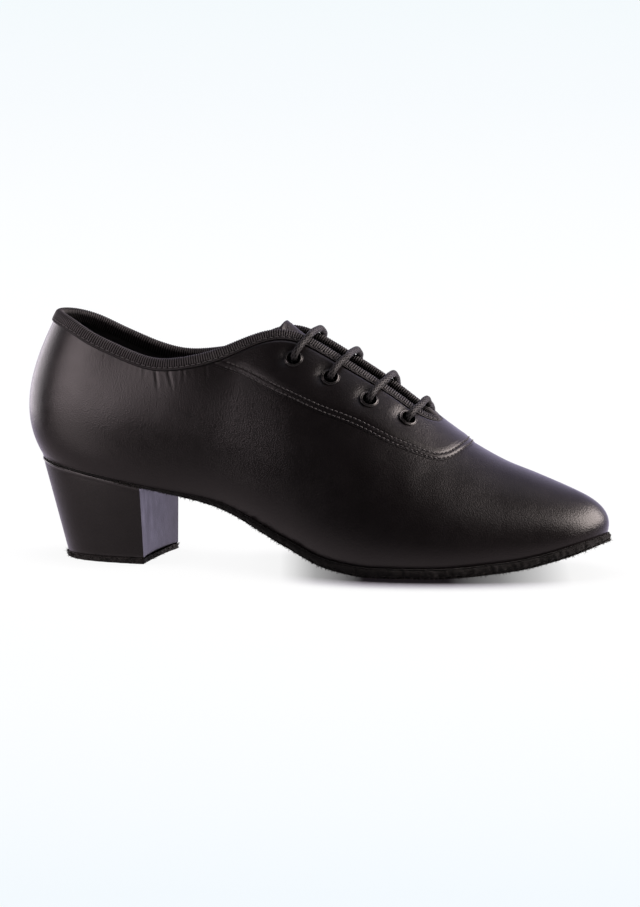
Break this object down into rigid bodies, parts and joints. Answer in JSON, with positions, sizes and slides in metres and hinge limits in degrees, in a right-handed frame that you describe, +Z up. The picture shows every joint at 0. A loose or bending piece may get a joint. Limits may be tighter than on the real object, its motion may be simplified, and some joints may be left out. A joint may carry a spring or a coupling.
{
  "type": "ballroom dance shoe",
  "caption": "Low-cut lace-up ballroom dance shoe for the right foot, a hollow leather upper with a bound collar and eyestay on a flexible suede sole and a covered block heel.",
  "frame": {"origin": "bottom centre of the bounding box, on the floor plane the heel and the tread stand on", "axes": "+X towards the toe, +Y towards the inner side of the foot, +Z up"},
  "size_m": [0.2657, 0.0858, 0.1106],
  "materials": {
    "calf": "satin",
    "grosgrain": "ribbed",
    "suede": "napped",
    "footbed": "matte",
    "cord": "braided",
    "metal": "satin"
  },
  "bodies": {
    "root": {"upper": "calf", "facing": "calf", "binding": "grosgrain", "tongue": "calf", "insole": "footbed", "outsole": "suede", "heel": "calf", "heel_lift": "suede", "eyelet_lateral_1": "metal", "eyelet_lateral_2": "metal", "eyelet_lateral_3": "metal", "eyelet_lateral_4": "metal", "eyelet_medial_1": "metal", "eyelet_medial_2": "metal", "eyelet_medial_3": "metal", "eyelet_medial_4": "metal", "lace_bar_1": "cord", "lace_bar_2": "cord", "lace_bar_3": "cord", "lace_bar_4": "cord"}
  },
  "joints": []
}
